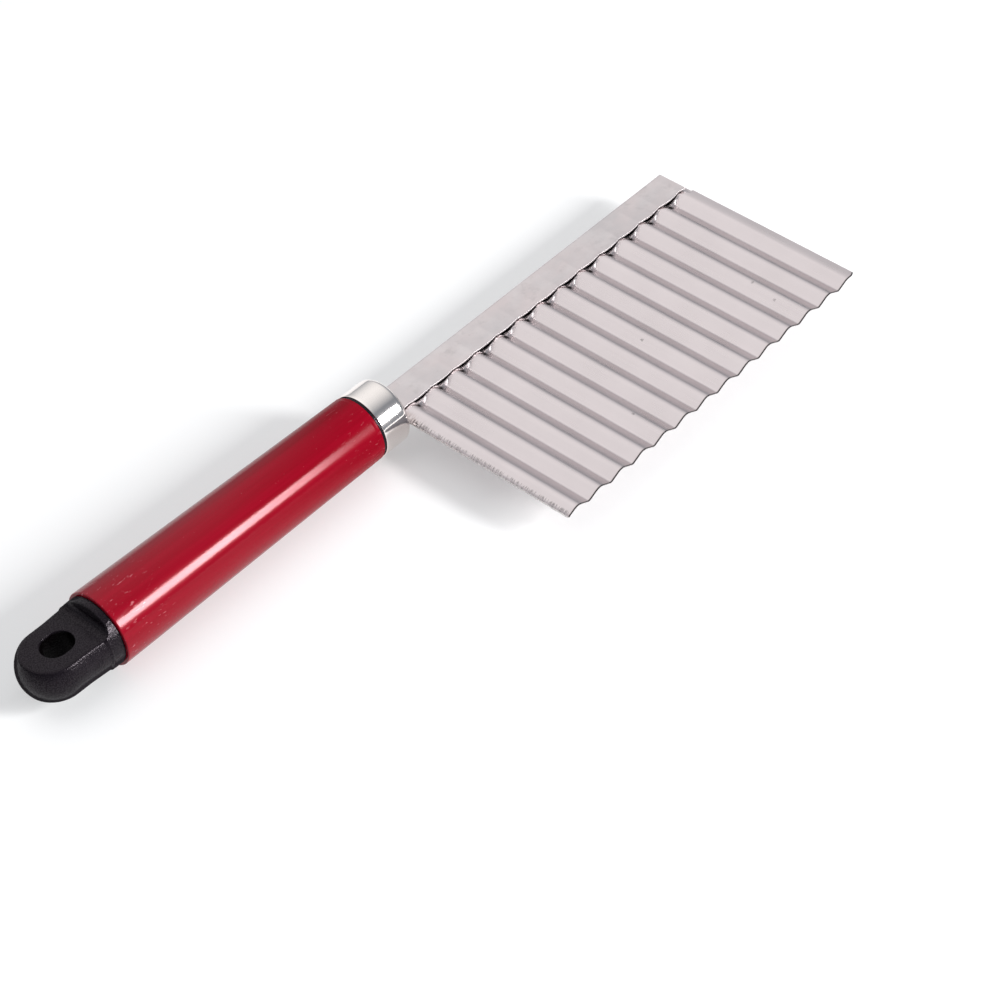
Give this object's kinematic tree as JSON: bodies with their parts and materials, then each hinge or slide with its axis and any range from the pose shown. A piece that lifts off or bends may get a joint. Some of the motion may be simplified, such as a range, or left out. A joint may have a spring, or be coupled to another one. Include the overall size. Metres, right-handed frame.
{
  "type": "crinkle cutter",
  "caption": "Crinkle cutter with a fluted steel blade on a folded spine strip, a steel ferrule, a tapered red tubular handle and a black end cap with a hanging eye.",
  "frame": {"origin": "middle of the tool's outline, seen from above, at the level of the grip's lowest line", "axes": "+X along the handle from the hanging eye to the blade's tip, cutting edge on -Y, +Z out of the blade's upper side"},
  "size_m": [0.2576, 0.0788, 0.0229],
  "materials": {
    "blade_steel": "satin rolled sheet",
    "strip_steel": "satin rolled strip",
    "ferrule_steel": "polished",
    "ring_plastic": "moulded, semi-matte",
    "plain_steel": "plain, hidden",
    "red_sleeve": "glossy shrink sleeve",
    "cap_plastic": "moulded, fine texture"
  },
  "bodies": {
    "root": {"corrugated_blade": "blade_steel", "spine_channel": "strip_steel", "ferrule": "ferrule_steel", "front_plug": "ring_plastic", "lock_pin": "plain_steel", "handle_tube": "plain_steel", "grip_sleeve": "red_sleeve", "end_cap": "cap_plastic"}
  },
  "joints": []
}
